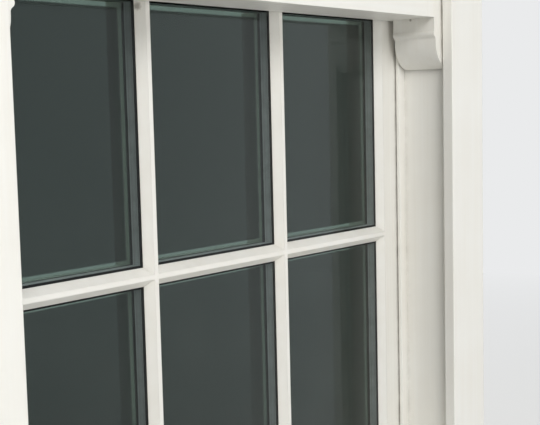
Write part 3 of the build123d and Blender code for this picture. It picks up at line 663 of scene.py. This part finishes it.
# %% Spacer strip
strip_grey = screen_colour(214, 216, 219)
strip_dull = screen_colour(192, 194, 197)
hole_shade_colour = screen_colour(96, 98, 100)
fold_shade_colour = screen_colour(112, 116, 116)
holes_per_metre, fold_middle, fold_half = 420.0, 0.45, 0.0032
# The holes are drawn as darker dots: painted shade inside them.
holes = put(tree, "TexVoronoi", {"Vector": place, "Scale": holes_per_metre, "Randomness": 0.15})
hole_shade = spread(tree, holes.outputs["Distance"], 0.2, 0.12)
# The folds of the strip are drawn as two dark lines: painted shade in the creases.
fold = sums(tree, "ABSOLUTE", minus(tree, depth, strip_depth * fold_middle))
fold = spread(tree, sums(tree, "ABSOLUTE", minus(tree, fold, fold_half)), 0.0004, 0.0001)
strip = mixed(tree, spread(tree, haze, 0.3, 0.7), strip_grey, strip_dull)
strip = mixed(tree, times(tree, hole_shade, 0.6), strip, hole_shade_colour)
strip = mixed(tree, times(tree, fold, 0.55), strip, fold_shade_colour)
colour = mixed(tree, dark_faces, strip, seal)
rough = spread(tree, dark_faces, 0.0, 1.0, 0.42, 0.75)
relief = bumped(tree, 0.4, 0.0003, noise(tree, place, 800.0))
fill(tree, shader, {"Base Color": colour, "Roughness": rough, "Normal": relief})
print("spacer:", spacer_finish.name)

# %% [markdown]
# ## Metals
#
# The pulleys, catch and handles are brass that has not been polished for years: yellow where
# fingers and cords rub, brown in the hollows. The weights are cast iron with a coarse, slightly
# rusty skin, and the pulley pins are plain steel. All three use the tarnish group, with other
# colours and other sizes of clouds, and the corner group with a very short reach, which paints
# shade in screw slots and round the screws, standing also for old polish and dirt there.

# %% Metal recipe
polish_and_gap_shade = screen_colour(34, 29, 23)
metal_edge = 0.0005


def metal(name, bright, dull, rough, clouds, amount, grit, metallic=(1.0, 0.6)):
    """Metal with tarnish: rough and metallic are pairs, for bare and for tarnished skin.

    clouds is the number of stains to the metre and grit the depth of the skin in metres.
    """
    material, tree, shader = new_material(name)
    tarnish = use_group(tree, "Tarnish", {"Clouds": clouds, "Amount": amount})
    edge = use_group(tree, "Worn arrises", {"Width": 0.0008, "Patches": 200.0, "Amount": 1.0})["Mask"]
    gap = use_group(tree, "Corner shade and dirt", {"Reach": 0.0015, "Amount": 1.5})["Mask"]
    covered = times(tree, tarnish["Mask"], minus(tree, 1.0, edge))
    # Painted shade in screw slots and gaps, nearly black, standing also for old polish and dirt.
    colour = mixed(tree, gap, mixed(tree, covered, bright, dull), polish_and_gap_shade)
    covered = sums(tree, "MAXIMUM", covered, gap)
    softened = put(tree, "Bevel", {"Radius": metal_edge}, samples=4).outputs[0]
    relief = bumped(tree, 0.5, grit, tarnish["Grit"], softened)
    fill(tree, shader, {"Base Color": colour, "Normal": relief})
    fill(tree, shader, {"Roughness": spread(tree, covered, 0.0, 1.0, *rough)})
    fill(tree, shader, {"Metallic": spread(tree, covered, 0.0, 1.0, *metallic)})
    return material


# %% Mix the metals
brass = metal(
    "aged brass", screen_colour(206, 174, 110), screen_colour(150, 120, 74),
    rough=(0.26, 0.44), clouds=70.0, amount=0.45, grit=0.00006,
)
iron = metal(
    "cast iron skin", screen_colour(84, 82, 80), screen_colour(74, 52, 38),
    rough=(0.55, 0.85), clouds=40.0, amount=0.55, grit=0.0006, metallic=(0.7, 0.1),
)
steel = metal(
    "plain steel", screen_colour(182, 184, 186), screen_colour(120, 112, 100),
    rough=(0.28, 0.5), clouds=160.0, amount=0.4, grit=0.00004,
)
print("metals:", brass.name, iron.name, steel.name)

# %% [markdown]
# ## Who wears what
#
# Each solid of the model gets the finish of the first word below that its name holds, and
# upright paint if it holds none. Its own material slot is cleared first, so that nothing of the
# plain import is left on it.

# %% Give each solid its finish
finishes = {
    "outer_glass": outer_glass,
    "inner_glass": inner_glass,
    "spacers": spacer_finish,
    "putty": putty_paint,
    "weight": iron,
    "axles": steel,
    "catch": brass,
    "wheel": brass,
    "cases": brass,
    "handles": brass,
    "back_linings": upright_wood,
    "wagtails": upright_wood,
    "head_board": head_wood,
    "head_": level_paint,
    "rail": level_paint,
    "level_bars": level_paint,
    "sill_staff": level_paint,
    "sill": sill_paint,
}
for name, solid in nodes.items():
    fitting = [finish for word, finish in finishes.items() if word in name]
    solid.data.materials.clear()
    solid.data.materials.append(fitting[0] if fitting else upright_paint)
print("finished", len(nodes), "solids")

# %% [markdown]
# ## Cords
#
# Each sash hangs on two cotton cords. A cord is knotted into the edge of the stile, runs up the
# groove, over the wheel, and down inside the box to a weight, where it is knotted again. When a
# sash slides, the cord's two straight runs change length, so they can't follow one body alone.
# The cord is therefore made as three meshes that meet end to end: a run between frame and sash,
# an arc that stays with the frame, and a run between frame and weight. The three stand for the
# model's plain solid cord, which is then hidden.
#
# A round tube is made ring by ring, because that gives even texture coordinates for the braid.

# %% Braided cotton
cotton = screen_colour(214, 204, 178)
strand_gap_shade = screen_colour(140, 126, 98)
cotton_grey = screen_colour(150, 142, 126)
cord_finish, tree, shader = new_material("waxed cotton braid")
unrolled = put(tree, "TexCoord").outputs["UV"]
strands_round, strands_along = 7.0, 2.0
print("strands each way:", int(strands_round))


def strand(tree, way):
    """Height of the strands that wind one way round the cord."""
    around = times(tree, one_axis(tree, unrolled, "X"), strands_round)
    ahead = times(tree, one_axis(tree, unrolled, "Y"), way * strands_along)
    turn = sums(tree, "FRACT", plus(tree, around, ahead))
    return sums(tree, "SINE", times(tree, turn, pi))


braid = sums(tree, "MAXIMUM", strand(tree, 1.0), strand(tree, -1.0))
fuzz = noise(tree, object_place(tree), 1500.0, 3.0)
relief = plus(tree, braid, times(tree, fuzz, 0.3))
# The grooves between strands are darker: painted shade between the strands.
colour = mixed(tree, spread(tree, braid, 0.55, 0.95), strand_gap_shade, cotton)
handled = use_group(tree, "Tarnish", {"Clouds": 35.0, "Amount": 0.45})["Mask"]
colour = mixed(tree, times(tree, handled, 0.5), colour, cotton_grey)
rough = spread(tree, fuzz, 0.3, 0.7, 0.7, 0.9)
relief = bumped(tree, 0.8, 0.0006, relief)
fill(tree, shader, {"Base Color": colour, "Roughness": rough, "Normal": relief})
print("cord finish:", cord_finish.name)

# %% New pieces
def new_piece(name, mesh, material):
    """Object with its finish."""
    mesh.materials.append(material)
    piece = bpy.data.objects.new(name, mesh)
    bpy.context.collection.objects.link(piece)
    return piece


print("helper for pieces: new_piece")

# %% Tube from rings
cord_radius = 0.003
ring_step = 0.005
ring_points = 16
braid_unit = 4 * cord_radius


def ring_tube(name, rings):
    """Tube through rings, each given as centre, side direction, other direction and radius."""
    mesh = bpy.data.meshes.new(name)
    form = bmesh.new()
    layer = form.loops.layers.uv.new("braid")
    loops, lengths, length = [], [], 0.0
    for number, (centre, side, other, radius) in enumerate(rings):
        if number:
            length += (centre - rings[number - 1][0]).length
        lengths.append(length)
        loop = []
        for step in range(ring_points):
            turn = tau * step / ring_points
            loop.append(form.verts.new(centre + radius * (cos(turn) * side + sin(turn) * other)))
        loops.append(loop)
    for below, above, start, end in zip(loops, loops[1:], lengths, lengths[1:]):
        for step in range(ring_points):
            after = (step + 1) % ring_points
            face = form.faces.new((below[step], below[after], above[after], above[step]))
            face.smooth = True
            u_here, u_next = step / ring_points, (step + 1) / ring_points
            v_here, v_next = start / braid_unit, end / braid_unit
            corners = ((u_here, v_here), (u_next, v_here), (u_next, v_next), (u_here, v_next))
            for corner, place in zip(face.loops, corners):
                corner[layer].uv = place
    form.faces.new(loops[0][::-1])
    form.faces.new(loops[-1])
    bmesh.ops.recalc_face_normals(form, faces=form.faces)
    form.to_mesh(mesh)
    form.free()
    return mesh


print("one ring of", ring_points, "points every", ring_step * 1000, "mm")

# %% [markdown]
# The knot at each end is a lump nearly twice as thick as the cord. It is drawn by letting the
# rings swell and twist, which is enough for something that sits in a hole in the stile or in
# the pocket of the weight.

# %% Rings of a run and of an arc
axle_z, axle_out, wrap = 1.42441, 0.415, 0.0235
knot_radius, knot_rings = 0.0054, 10
knot_lumps, lump_height = 6, 0.06
arc_rings = 24


def upright_run(x, y, knot_z):
    """Rings from the wheel down to the knot, and round it."""
    side, other = Vector((1, 0, 0)), Vector((0, 1, 0))
    straight = axle_z - knot_z - knot_radius
    steps = max(2, round(straight / ring_step))
    rings = []
    for n in range(steps + 1):
        centre = Vector((x, y, axle_z - straight * n / steps))
        rings.append((centre, side, other, cord_radius))
    for n in range(1, knot_rings):
        angle = pi * n / knot_rings
        swell = knot_radius * sin(angle) * (1 + lump_height * sin(knot_lumps * angle))
        if swell > cord_radius or angle > pi / 2:
            twist = Matrix.Rotation(angle, 3, "Z")
            centre = Vector((x, y, knot_z + knot_radius * cos(angle)))
            rings.append((centre, twist @ side, twist @ other, swell))
    return rings


def over_wheel(centre_x, y, way):
    """Rings over the top of the wheel."""
    middle = Vector((centre_x, y, axle_z))
    rings = []
    for n in range(arc_rings + 1):
        angle = pi * n / arc_rings
        outward = Vector((-way * cos(angle), 0, sin(angle)))
        rings.append((middle + wrap * outward, outward, Vector((0, 1, 0)), cord_radius))
    return rings


print("arc over a wheel:", round(pi * wrap * 1000, 1), "mm")

# %% Hang the cords
sash_track = {"upper": 0.052, "lower": 0.132}
sash_knot = {"upper": 1.25761, "lower": 0.58961}
weight_knot = {"upper": 0.73861, "lower": 1.32861}
for sash in ("upper", "lower"):
    for side, way in (("left", -1), ("right", 1)):
        node = f"{sash}_{side}_cord"
        y = sash_track[sash]
        runs = (
            ("sash_run", way * (axle_out - wrap), sash_knot[sash], f"{sash}_sash"),
            ("weight_run", way * (axle_out + wrap), weight_knot[sash], f"{sash}_{side}_weight"),
        )
        for label, x, knot_z, body in runs:
            name = f"{node}_{label}"
            tube = ring_tube(name, upright_run(x, y, knot_z))
            run = new_piece(name, tube, cord_finish)
            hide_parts(node)
            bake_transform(run)
        name = f"{node}_over_wheel"
        tube = ring_tube(name, over_wheel(way * axle_out, y, way))
        arc = new_piece(name, tube, cord_finish)
        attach(arc, "frame")
        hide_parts(node)
        print(node, "made as two runs and an arc")

# %% [markdown]
# ## Screws
#
# Small slotted screws hold the pulleys, the pocket pieces, the catch and the handles. Each head
# is a shallow dish with a straight slot. It is drawn as a low disc with two half moons on it, so
# that the slot is a real gap that catches light, and the half moons draw in a little towards
# their tops. The slots are left at different angles, as a joiner leaves them.

# %% Raise an outline
def raise_outline(form, low_outline, high_outline, closed_below):
    """Walls and top from one outline to another with as many points, and a bottom if closed_below."""
    low = [form.verts.new(point) for point in low_outline]
    high = [form.verts.new(point) for point in high_outline]
    form.faces.new(high)
    if closed_below:
        form.faces.new(low[::-1])
    for n in range(len(low)):
        after = (n + 1) % len(low)
        form.faces.new((low[n], low[after], high[after], high[n]))


print("helper for outlines: raise_outline")

# %% One slotted screw
screw_rise, screw_sunk, slot_half = 0.0007, 0.001, 0.0004
disc_share, moon_share, moon_taper = 0.2, 0.92, 0.93
disc_corners, moon_steps = 20, 10


def screw_mesh(name, radius, turn):
    """Slotted head that looks along +Z, on a surface at Z = 0 and let into it."""
    form = bmesh.new()
    disc_top = screw_rise * disc_share
    turns = [tau * n / disc_corners for n in range(disc_corners)]
    disc = [Vector((radius * cos(angle), radius * sin(angle), 0)) for angle in turns]
    low = [point + Vector((0, 0, -screw_sunk)) for point in disc]
    high = [point + Vector((0, 0, disc_top)) for point in disc]
    raise_outline(form, low, high, closed_below=True)
    inner = radius * moon_share
    draw_in = Vector((0, slot_half * (1 - moon_taper), 0))
    start = asin(slot_half / inner)
    for way in (1, -1):
        angles = [start + (pi - 2 * start) * n / moon_steps for n in range(moon_steps + 1)]
        moon = [Vector((inner * cos(angle), way * inner * sin(angle), 0)) for angle in angles]
        low = [point + Vector((0, 0, disc_top)) for point in moon]
        high = [point * moon_taper + way * draw_in + Vector((0, 0, screw_rise)) for point in moon]
        raise_outline(form, low, high, closed_below=False)
    bmesh.ops.recalc_face_normals(form, faces=form.faces)
    bmesh.ops.rotate(form, verts=form.verts, cent=(0, 0, 0), matrix=Matrix.Rotation(turn, 3, "Z"))
    mesh = bpy.data.meshes.new(name)
    form.to_mesh(mesh)
    form.free()
    return mesh


print("screw head:", screw_rise * 1000, "mm proud")

# %% [markdown]
# Each screw is drawn once at the origin and then laid on its surface, facing outward. A size of
# screw is three numbers: the radius of its head, the turn of a first slot, and how much farther
# each later one is turned. They are counted in one list, which gives every slot its own angle.

# %% Sizes of screw
plate_screw = (0.0035, 0.5, 1.3)
pocket_screw = (0.0042, 0.3, 0.9)
base_screw = (0.0036, 0.0, 0.8)
keeper_screw = (0.0034, 0.0, 0.7)
foot_screw = (0.0019, 0.0, 0.6)
screws = []


def add_screw(name, place, outward, size, body, material):
    """Screw head of one size at a place on a surface, facing outward."""
    radius, first_turn, turn_step = size
    mesh = screw_mesh(name, radius, first_turn + turn_step * len(screws))
    facing = Vector(outward).to_track_quat("Z", "Y").to_matrix().to_4x4()
    mesh.transform(Matrix.Translation(Vector(place)) @ facing)
    piece = new_piece(name, mesh, material)
    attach(piece, body)
    screws.append(piece)


print("largest head:", pocket_screw[0] * 2000, "mm across")

# %% Screws of the pulleys and the pocket pieces
plate_face, plate_reach = 0.3955, 0.044
pocket_out, pocket_ends = 0.133, (0.193, 0.763)
for sash, y in sash_track.items():
    for side, way in (("left", -1), ("right", 1)):
        for end, step in (("low", -1), ("high", 1)):
            name = f"{sash}_{side}_pulley_screw_{end}"
            place = (way * plate_face, y, axle_z + step * plate_reach)
            add_screw(name, place, (-way, 0, 0), plate_screw, "frame", brass)
for side, way in (("left", -1), ("right", 1)):
    for end, z in zip(("low", "high"), pocket_ends):
        name = f"{side}_pocket_screw_{end}"
        place = (way * plate_face, pocket_out, z)
        add_screw(name, place, (-way, 0, 0), pocket_screw, "frame", steel)
print(len(screws), "screws in the frame")

# %% Screws of the catch and the handles
base_reach, base_y, base_top = 0.023, 0.113, 0.82141
keeper_reach, keeper_y, keeper_top = 0.020, 0.070, 0.82041
handle_out, bow_reach = 0.2, 0.045
foot_y, foot_z, foot_screw_out = 0.169, 0.1109, 0.0071
for end, way in (("left", -1), ("right", 1)):
    place = (way * base_reach, base_y, base_top)
    add_screw(f"catch_screw_{end}", place, (0, 0, 1), base_screw, "lower_sash", brass)
    place = (way * keeper_reach, keeper_y, keeper_top)
    add_screw(f"keeper_screw_{end}", place, (0, 0, 1), keeper_screw, "upper_sash", brass)
for side, middle in (("left", -handle_out), ("right", handle_out)):
    for foot in (-1, 1):
        for rise in (-1, 1):
            name = f"{side}_handle_screw_{foot + 2}_{rise + 2}"
            place = (middle + foot * bow_reach, foot_y, foot_z + rise * foot_screw_out)
            add_screw(name, place, (0, 1, 0), foot_screw, "lower_sash", brass)
print(len(screws), "screws in all")

# %% [markdown]
# ## Floor, background and light
#
# The window stands on a plain pale floor. The background is the world's colour, shown only to the
# camera and to mirror-like and see-through rays, so that glass and brass show it too while it
# adds no extra light. Farther out the floor fades into that same colour, which hides the horizon
# line but keeps the shadow under the window. From below the floor is see-through, so that the
# underside of the sill can be looked at too.
#
# Four large soft lamps light the piece: one from the front left, a weaker one from high on the
# right to open the shadows, a low warm one in place of the light that a sunny ground throws up
# under the rails, and one from behind for the indoor side. Their level is set so that a colour
# comes out about as it is written and pale paint keeps its tone. The camera doesn't see them.

# %% Floor
floor_reach, floor_sides, floor_drop = 14.0, 64, 0.0005
fade_start, fade_end = 0.9, 3.0
floor_dull = screen_colour(232, 232, 230)
floor_pale = screen_colour(236, 236, 234)
backdrop_colour = screen_colour(234, 235, 236)


def background_rays(tree):
    """1 for rays that should see the background, 0 for those that only carry light."""
    rays = put(tree, "LightPath").outputs
    through = sums(tree, "MAXIMUM", rays["Is Glossy Ray"], rays["Is Transmission Ray"])
    return sums(tree, "MAXIMUM", rays["Is Camera Ray"], through)


form = bmesh.new()
rim = []
for n in range(floor_sides):
    angle = tau * n / floor_sides
    rim.append(form.verts.new((floor_reach * cos(angle), floor_reach * sin(angle), -floor_drop)))
form.faces.new(rim)
floor_mesh = bpy.data.meshes.new("floor")
form.to_mesh(floor_mesh)
form.free()
floor = bpy.data.objects.new("floor", floor_mesh)
bpy.context.collection.objects.link(floor)
print("floor radius:", floor_reach, "m")

# %% Floor finish
floor_finish, tree, shader = new_material("pale floor")
place = object_place(tree)
cloud = noise(tree, place, 1.5, 3.0)
fill(tree, shader, {"Base Color": mixed(tree, cloud, floor_dull, floor_pale), "Roughness": 0.85})
away = put(tree, "VectorMath", {0: place}, operation="LENGTH").outputs["Value"]
faded = times(tree, spread(tree, away, fade_start, fade_end), background_rays(tree))
distant = put(tree, "Emission", {"Color": backdrop_colour, "Strength": 1.0})
above = put(tree, "MixShader", {0: faded, 1: shader.outputs[0], 2: distant.outputs[0]})
below = put(tree, "NewGeometry").outputs["Backfacing"]
unseen = put(tree, "BsdfTransparent")
both = put(tree, "MixShader", {0: below, 1: above.outputs[0], 2: unseen.outputs[0]})
tree.links.new(both.outputs[0], tree.nodes["Material Output"].inputs["Surface"])
floor_mesh.materials.append(floor_finish)
print("floor fades from", fade_start, "to", fade_end, "m")

# %% Background
sky_colour, sky_strength = (0.95, 0.97, 1.0, 1.0), 0.42
world = bpy.data.worlds.new("World")
bpy.context.scene.world = world
world.use_nodes = True
tree = world.node_tree
tree.nodes.clear()
shown = put(tree, "Background", {"Color": backdrop_colour, "Strength": 1.0})
lit = put(tree, "Background", {"Color": sky_colour, "Strength": sky_strength})
both = put(tree, "MixShader", {0: background_rays(tree), 1: lit.outputs[0], 2: shown.outputs[0]})
put(tree, "OutputWorld", {"Surface": both.outputs[0]})
print("background:", world.name)

# %% Lamps
def soft_lamp(name, place, aim, size, watts, colour):
    """Square lamp at a place, turned to a point."""
    lamp = bpy.data.lights.new(name, "AREA")
    lamp.shape = "SQUARE"
    lamp.size = size
    lamp.energy = watts
    lamp.color = colour
    holder = bpy.data.objects.new(name, lamp)
    bpy.context.collection.objects.link(holder)
    turn = (Vector(aim) - Vector(place)).to_track_quat("-Z", "Y").to_matrix().to_4x4()
    holder.matrix_world = Matrix.Translation(Vector(place)) @ turn
    holder.visible_camera = False
    return holder


middle = (0, 0.1, 0.8)
low_middle = (0, 0.1, 0.7)
outer_face = (0, 0.05, 0.9)
warm, ground = (1.0, 0.985, 0.96), (1.0, 0.98, 0.93)
cool, plain = (0.94, 0.97, 1.0), (1.0, 1.0, 1.0)
lamps = [
    soft_lamp("key", (-2.3, -3.1, 2.9), middle, size=1.9, watts=92.0, colour=warm),
    soft_lamp("fill", (2.8, -2.6, 3.4), low_middle, size=2.2, watts=30.0, colour=cool),
    soft_lamp("low card", (-0.6, -1.7, 0.04), outer_face, size=1.5, watts=15.0, colour=ground),
    soft_lamp("back", (0.5, 3.4, 2.6), middle, size=2.5, watts=80.0, colour=plain),
]
bpy.context.scene.view_settings.view_transform = "Standard"
print("lamps:", [lamp.name for lamp in lamps])

# %% [markdown]
# A pane is a mirror from some sides, and it would show each lamp as a hard bright square. A
# photographer moves the lamps until that is gone, but a model is looked at from all round. Light
# linking solves it for every side: the panes are taken off the list of things that the lamps
# shine on, and still let the light through to what is behind them. The pale background is what
# they mirror. The low card also leaves out the floor, which it nearly touches and would burn out.

# %% Keep the lamps out of the panes
def left_out(title, pieces):
    """Collection of pieces that a lamp doesn't shine on."""
    dark = bpy.data.collections.new(title)
    for piece in pieces:
        dark.objects.link(piece)
    for member in dark.collection_objects:
        member.light_linking.link_state = "EXCLUDE"
    print(title + ":", len(pieces))
    return dark


sheets = [solid for name, solid in nodes.items() if name.endswith("glass")]
panes = left_out("panes without lamps", sheets)
panes_and_floor = left_out("panes and floor without the low card", [*sheets, floor])
for lamp in lamps:
    lamp.light_linking.receiver_collection = panes_and_floor if lamp.name == "low card" else panes
